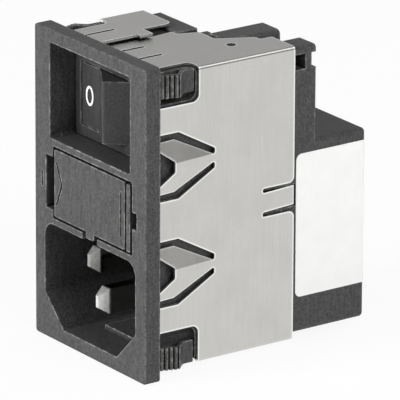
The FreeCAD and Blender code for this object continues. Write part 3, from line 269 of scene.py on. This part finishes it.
def nickel_plated_inlet_pin():
    # Nickel on a drawn brass blade: a coined and tumbled tip, pale and bright, partly nickel's own tone
    # and partly a painted highlight, whose fine scars scatter some of the light as a matt face does, and a
    # smooth shank behind it, darkened with painted shade from the well.
    # Tumbling scars are too fine to show; they are drawn as patches of 0.5 mm.
    material, tree, shader, place = finish("nickel_plated_inlet_pin", {})
    along = add(tree, "ShaderNodeSeparateXYZ",
                {"Vector": add(tree, "ShaderNodeTexCoord").outputs["Generated"]})
    shank = {"Value": along.outputs["Y"], "From Min": TIP_END, "From Max": SHANK_START}
    tumbled = add(tree, "ShaderNodeTexNoise", {"Vector": place, "Scale": per_mm(0.5), "Detail": 2.0})
    # Painted highlight: the tip's nickel is lifted towards near white, partly its own pale tone and partly
    # the light on it.
    tip = add(tree, "ShaderNodeMix",
              {FACTOR: tumbled.outputs["Fac"], COLOUR_A: linear("#c4c3bf"), COLOUR_B: linear("#fcfcfa")},
              data_type="RGBA")
    # Painted shade: the shank's colour darkens to grey where it sits in the well's shadow.
    well_shaded = add(tree, "ShaderNodeMapRange", shank)
    colour = add(tree, "ShaderNodeMix",
                 {FACTOR: well_shaded.outputs["Result"], COLOUR_A: tip.outputs[COLOUR_OUT],
                  COLOUR_B: linear("#a09f9c")},
                 data_type="RGBA")
    tree.links.new(colour.outputs[COLOUR_OUT], shader.inputs["Base Color"])
    polish = add(tree, "ShaderNodeMapRange", {**shank, "To Min": 0.26, "To Max": 0.10})
    tree.links.new(polish.outputs["Result"], shader.inputs["Roughness"])
    mirror = add(tree, "ShaderNodeMapRange", {**shank, "To Min": 0.72, "To Max": 1.0})
    tree.links.new(mirror.outputs["Result"], shader.inputs["Metallic"])
    return material


def coated(name, dark, light, rough, patch):
    # Opaque film, lacquer, dip or sintered face: one colour with a little cloudiness and a soft sheen.
    material, tree, shader, place = finish(name, {"IOR": 1.5})
    cloud = add(tree, "ShaderNodeTexNoise", {"Vector": place, "Scale": per_mm(patch), "Detail": 3.0})
    depth = add(tree, "ShaderNodeMapRange",
                {"Value": cloud.outputs["Fac"], "From Min": 0.3, "From Max": 0.7})
    colour = add(tree, "ShaderNodeMix",
                 {FACTOR: depth.outputs["Result"], COLOUR_A: linear(dark), COLOUR_B: linear(light)},
                 data_type="RGBA")
    tree.links.new(colour.outputs[COLOUR_OUT], shader.inputs["Base Color"])
    sheen = add(tree, "ShaderNodeMapRange",
                {"Value": depth.outputs["Result"], "To Min": rough - 0.05, "To Max": rough + 0.05})
    tree.links.new(sheen.outputs["Result"], shader.inputs["Roughness"])
    bump = add(tree, "ShaderNodeBump",
               {"Height": cloud.outputs["Fac"], "Strength": 0.10, "Distance": 0.02 * MM})
    tree.links.new(bump.outputs["Normal"], shader.inputs["Normal"])
    return material


def drawn_fuse_glass():
    # Drawn soda-lime glass tube: clear with a faint green tint and slow draw ripples.
    material, tree, shader, place = finish("drawn_fuse_glass", {"IOR": 1.52, "Transmission Weight": 1.0})
    ripple = add(tree, "ShaderNodeTexNoise", {"Vector": place, "Scale": per_mm(2.0)})
    colour = add(tree, "ShaderNodeMix",
                 {FACTOR: ripple.outputs["Fac"], COLOUR_A: linear("#eef5f2"), COLOUR_B: linear("#f6faf8")},
                 data_type="RGBA")
    tree.links.new(colour.outputs[COLOUR_OUT], shader.inputs["Base Color"])
    polish = add(tree, "ShaderNodeMapRange",
                 {"Value": ripple.outputs["Fac"], "To Min": 0.02, "To Max": 0.06})
    tree.links.new(polish.outputs["Result"], shader.inputs["Roughness"])
    return material


def dress_nodes():
    """Gives each CAD node the finish of its material slot, and the inlet pins their own."""
    finishes = {
        "housing_plastic": moulded_thermoplastic("black_polyester", "#313131", "#505050",
                                                 rough=0.52, grain=0.32, edge=0.30, wear_and_highlight=0.85),
        "switch_plastic": moulded_thermoplastic("black_nylon", "#2d2d2e", "#3f3f40",
                                                rough=0.42, grain=0.30, edge=0.25, wear_and_highlight=0.65),
        "plated_sheet": tinned_rolled_steel(),
        "nickel_pin": drawn_metal("nickel_plated_brass", "#cdcac3", "#dedbd4", rough=0.30),
        "contact_brass": drawn_metal("rolled_brass", "#b08a45", "#cda95f", rough=0.30),
        "spring_steel": drawn_metal("drawn_spring_steel", "#8b8b89", "#a9a9a6", rough=0.32),
        "fuse_glass": drawn_fuse_glass(),
        "fuse_wire": drawn_metal("tinned_copper_wire", "#b9b9ba", "#d4d4d4", rough=0.26),
        "board_laminate": coated("phenolic_paper_laminate", "#8a6a35", "#a58348", rough=0.50, patch=1.5),
        "ferrite": coated("sintered_ferrite", "#333335", "#454547", rough=0.60, patch=0.8),
        "enamelled_copper": drawn_metal("enamelled_copper_winding", "#8f4a22", "#b3642f", rough=0.32),
        "capacitor_case": coated("moulded_capacitor_case", "#b8962c", "#c9a83e", rough=0.35, patch=2.0),
        "ceramic_disc": coated("dipped_ceramic_disc", "#25508c", "#3264a4", rough=0.30, patch=1.2),
        "resistor_body": coated("lacquered_resistor", "#9a7f55", "#ad9267", rough=0.35, patch=1.0),
        "label_film": coated("white_polyester_film", "#f4f4f2", "#f8f8f6", rough=0.45, patch=3.0),
    }
    inlet_pin = nickel_plated_inlet_pin()
    for part in frame["record"]["subparts"]:
        mesh = frame["nodes"][part["node"]].data
        mesh.materials.clear()
        mesh.materials.append(inlet_pin if part["node"] in INLET_PINS else finishes[part["material_slot"]])


def printed_mark(name, loops, turn, ink):
    """Thin print on a rocker wing, between two loops of (x, z) or inside one, drawn where the wing
    lies flat and then turned by degrees about the rocker's pivot."""
    to_pivot = Matrix.Translation((0, PIVOT_Y, 0))
    swing = to_pivot @ Matrix.Rotation(math.radians(turn), 4, "Z") @ to_pivot.inverted()
    shape = bmesh.new()
    layers = []
    for y in (WING_Y - PRINT_T, WING_Y + PRINT_T):
        layers.append([[shape.verts.new(swing @ Vector((x, y, z))) for x, z in loop] for loop in loops])
    count = len(loops[0])
    for i in range(count):
        j = (i + 1) % count
        for front, back in zip(*layers):
            shape.faces.new((front[i], front[j], back[j], back[i]))
        if len(loops) == 2:
            for outer, inner in layers:
                shape.faces.new((outer[i], outer[j], inner[j], inner[i]))
    if len(loops) == 1:
        for layer in layers:
            shape.faces.new(layer[0])
    bmesh.ops.recalc_face_normals(shape, faces=shape.faces)
    mesh = bpy.data.meshes.new(name)
    shape.to_mesh(mesh)
    shape.free()
    mesh.materials.append(ink)
    mark = bpy.data.objects.new(name, mesh)
    bpy.context.scene.collection.objects.link(mark)
    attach(mark, "rocker")


def switch_marks():
    """Pad-printed off ring and on bar on the rocker's two wings."""
    ink = coated("pad_printed_white_ink", "#ededeb", "#f5f5f3", rough=0.50, patch=0.4)
    turns = [2 * math.pi * i / RING_STEPS for i in range(RING_STEPS)]
    ring = []
    for inset in (0, RING_STROKE):
        w, h = RING_W / 2 - inset, RING_H / 2 - inset
        ring.append([(-MARK_X + w * math.cos(t), MARK_Z + h * math.sin(t)) for t in turns])
    printed_mark("off_mark", ring, 0.0, ink)
    left, right = MARK_X - BAR_W / 2, MARK_X + BAR_W / 2
    low, high = MARK_Z - RING_H / 2, MARK_Z + RING_H / 2
    printed_mark("on_mark", [[(left, low), (right, low), (right, high), (left, high)]], ROCKER_SWING, ink)


def white_surround():
    """World: white where it is seen, plain light elsewhere, and in reflections a white wall under a grey
    ceiling with a soft panel at the upper right."""
    world = bpy.data.worlds.new("white_surround")
    bpy.context.scene.world = world
    world.use_nodes = True
    tree = world.node_tree
    back = next(n for n in tree.nodes if n.type == "BACKGROUND")
    path = add(tree, "ShaderNodeLightPath")
    heading = add(tree, "ShaderNodeTexCoord").outputs["Generated"]
    way = add(tree, "ShaderNodeSeparateXYZ", {"Vector": heading})
    ceiling = add(tree, "ShaderNodeMapRange",
                  {"Value": way.outputs["X"], "From Min": -CEILING_SPREAD, "From Max": CEILING_SPREAD,
                   "To Min": CEILING_LEFT, "To Max": CEILING_RIGHT})
    wall = add(tree, "ShaderNodeMapRange",
               {"Value": way.outputs["Z"], "From Min": 0.0, "From Max": WALL_TOP,
                "To Min": WHITE, "To Max": ceiling.outputs["Result"]})
    toward = add(tree, "ShaderNodeVectorMath", {0: heading, 1: PANEL_WAY}, operation="DOT_PRODUCT")
    panel = add(tree, "ShaderNodeMapRange",
                {"Value": toward.outputs["Value"], "From Min": PANEL_RIM, "From Max": PANEL_CORE,
                 "To Max": PANEL_LEVEL})
    room = add(tree, "ShaderNodeMath", {0: wall.outputs["Result"], 1: panel.outputs["Result"]},
               operation="ADD")
    mirrored = add(tree, "ShaderNodeMix",
                   {FACTOR: path.outputs["Is Glossy Ray"], VALUE_A: PLAIN_LIGHT, VALUE_B: room.outputs[0]})
    seen = add(tree, "ShaderNodeMath",
               {0: path.outputs["Is Camera Ray"], 1: path.outputs["Is Transmission Ray"]},
               operation="MAXIMUM")
    level = add(tree, "ShaderNodeMix",
                {FACTOR: seen.outputs[0], VALUE_A: mirrored.outputs[0], VALUE_B: WHITE})
    tree.links.new(level.outputs[0], back.inputs["Strength"])
    back.inputs["Color"].default_value = linear("#ffffff")


def pale_floor():
    """Floor that reads as white to the camera and in reflections and keeps the object's shadow."""
    lowest = CAD_BOX[0][2]
    bpy.ops.mesh.primitive_plane_add(size=FLOOR_SIZE, location=(0, 0, lowest))
    floor = bpy.context.object
    floor.name = "floor"
    # Matt paper sweep: an even near-white with the faint cloudiness of its pulp.
    material, tree, shader, place = finish("pale_paper_sweep", {"Roughness": 0.9})
    pulp = add(tree, "ShaderNodeTexNoise", {"Vector": place, "Scale": per_mm(8.0)})
    colour = add(tree, "ShaderNodeMix",
                 {FACTOR: pulp.outputs["Fac"], COLOUR_A: linear("#f2f2f2"), COLOUR_B: linear("#f6f6f6")},
                 data_type="RGBA")
    tree.links.new(colour.outputs[COLOUR_OUT], shader.inputs["Base Color"])
    path = add(tree, "ShaderNodeLightPath")
    plain = add(tree, "ShaderNodeMath",
                {0: path.outputs["Is Camera Ray"], 1: path.outputs["Is Glossy Ray"]},
                operation="MAXIMUM")
    seen = add(tree, "ShaderNodeMath", {0: plain.outputs[0], 1: path.outputs["Is Transmission Ray"]},
               operation="MAXIMUM")
    share = add(tree, "ShaderNodeMath", {0: seen.outputs[0], 1: FLOOR_WHITE}, operation="MULTIPLY")
    white = add(tree, "ShaderNodeEmission", {"Strength": WHITE})
    sweep = add(tree, "ShaderNodeMixShader",
                {0: share.outputs[0], 1: shader.outputs[0], 2: white.outputs[0]})
    out = next(n for n in tree.nodes if n.type == "OUTPUT_MATERIAL")
    tree.links.new(sweep.outputs[0], out.inputs["Surface"])
    floor.data.materials.append(material)


def studio_lamps():
    """Soft key lamp at the front and weaker ones at the right and behind, none of which shows in metal."""
    for name, place, size, power in LAMPS:
        lamp = bpy.data.lights.new(name, "AREA")
        lamp.size = size
        lamp.energy = power
        stand = bpy.data.objects.new(name, lamp)
        stand.location = place
        stand.rotation_euler = (CAMERA_TARGET - Vector(place)).to_track_quat("-Z", "Y").to_euler()
        stand.visible_glossy = False
        bpy.context.scene.collection.objects.link(stand)


def photo_camera():
    """Long-lens camera at the photograph's viewpoint."""
    azimuth, elevation = math.radians(CAMERA_AZIMUTH), math.radians(CAMERA_ELEVATION)
    back = Vector((math.sin(azimuth) * math.cos(elevation), -math.cos(azimuth) * math.cos(elevation),
                   math.sin(elevation)))
    lens = bpy.data.cameras.new("photo_camera")
    lens.lens = CAMERA_LENS
    lens.sensor_width = SENSOR
    camera = bpy.data.objects.new("photo_camera", lens)
    camera.location = CAMERA_TARGET + back * CAMERA_DISTANCE
    turn = (-back).to_track_quat("-Z", "Y").to_matrix().to_4x4()
    camera.rotation_euler = (turn @ Matrix.Rotation(math.radians(CAMERA_ROLL), 4, "Z")).to_euler()
    bpy.context.scene.collection.objects.link(camera)
    bpy.context.scene.camera = camera


bpy.context.scene.view_settings.view_transform = "Standard"
dress_nodes()
switch_marks()
white_surround()
pale_floor()
studio_lamps()
photo_camera()
